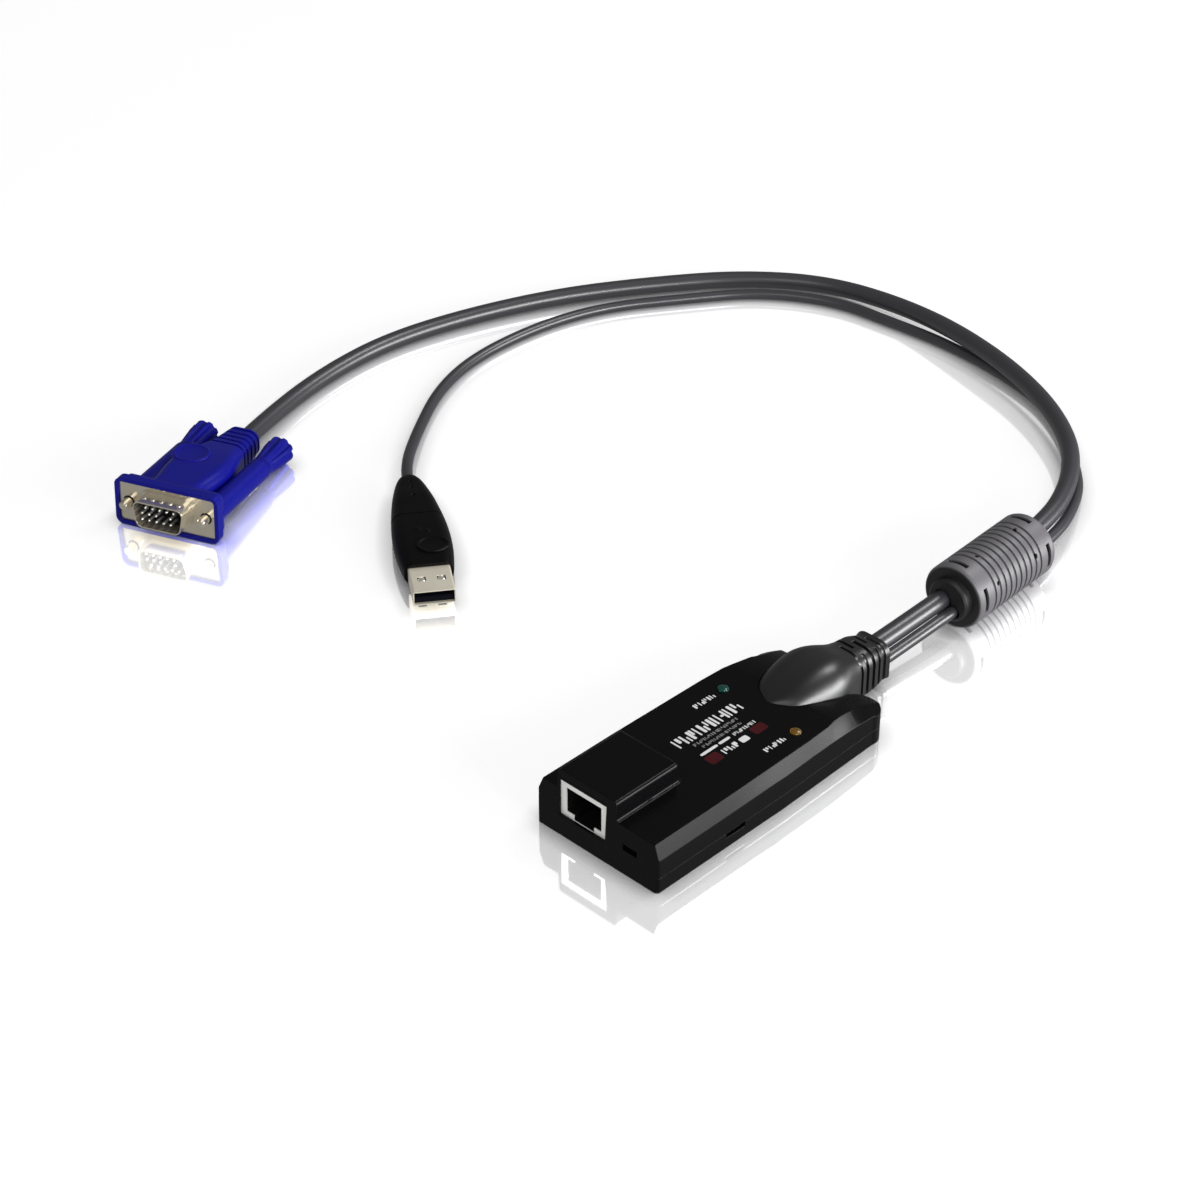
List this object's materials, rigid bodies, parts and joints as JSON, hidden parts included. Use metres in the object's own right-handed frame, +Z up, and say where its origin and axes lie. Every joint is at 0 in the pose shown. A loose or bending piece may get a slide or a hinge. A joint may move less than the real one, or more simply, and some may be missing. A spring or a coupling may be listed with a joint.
{
  "type": "kvm dongle",
  "caption": "Slim adapter case with a network jack, a moulded strain relief, and two cables through one ferrite bead to a video plug and a USB plug.",
  "frame": {"origin": "on the floor, under the middle of the case and its strain relief", "axes": "+Z up; -Y the front, where the jack opens; +Y the way the cables leave; +X to the right seen from the front"},
  "size_m": [0.2461, 0.2653, 0.0202],
  "materials": {
    "case_plastic": "satin",
    "boot_rubber": "satin",
    "board": "satin",
    "jack_metal": "bright",
    "jack_plastic": "matte",
    "gold": "bright",
    "chip_plastic": "matte",
    "header_plastic": "matte",
    "can_metal": "satin",
    "lead_jacket": "matte",
    "lamp": "satin",
    "green_lens": "clear",
    "amber_lens": "clear",
    "blue_plastic": "satin",
    "nickel": "bright",
    "insulator_plastic": "matte",
    "pin_metal": "bright",
    "overmould_plastic": "matte",
    "cable_jacket": "satin",
    "bead_plastic": "satin",
    "ferrite": "matte"
  },
  "bodies": {
    "dongle": {"top_shell": "case_plastic", "bottom_shell": "case_plastic", "strain_relief": "boot_rubber", "main_board": "board", "jack_shield": "jack_metal", "jack_insert": "jack_plastic", "jack_contacts": "gold", "video_chip": "chip_plastic", "keyboard_chip": "chip_plastic", "network_transformer": "chip_plastic", "video_header": "header_plastic", "usb_header": "header_plastic", "crystal": "can_metal", "capacitors": "can_metal", "video_leads": "lead_jacket", "usb_leads": "lead_jacket", "indicator_lamps": "lamp", "green_light_pipe": "green_lens", "amber_light_pipe": "amber_lens", "vga_hood": "blue_plastic", "vga_shell": "nickel", "vga_insulator": "insulator_plastic", "vga_pins": "pin_metal", "usb_overmould": "overmould_plastic", "usb_shell": "nickel", "usb_tongue": "insulator_plastic", "usb_contacts": "gold", "video_cable": "cable_jacket", "usb_cable": "cable_jacket", "ferrite_cover": "bead_plastic", "ferrite_core": "ferrite"},
    "left_thumbscrew": {"left_screw_rod": "nickel", "left_screw_knob": "blue_plastic"},
    "right_thumbscrew": {"right_screw_rod": "nickel", "right_screw_knob": "blue_plastic"}
  },
  "joints": [
    {"name": "left_thumbscrew_turn", "type": "hinge", "parent": "dongle", "child": "left_thumbscrew", "pos_m": [-0.21303, -0.01125, 0.00544], "axis": [-0.3784, 0.9227, -0.0735], "continuous": true},
    {"name": "right_thumbscrew_turn", "type": "hinge", "parent": "dongle", "child": "right_thumbscrew", "pos_m": [-0.1899, -0.00176, 0.00544], "axis": [-0.3784, 0.9227, -0.0735], "continuous": true}
  ]
}
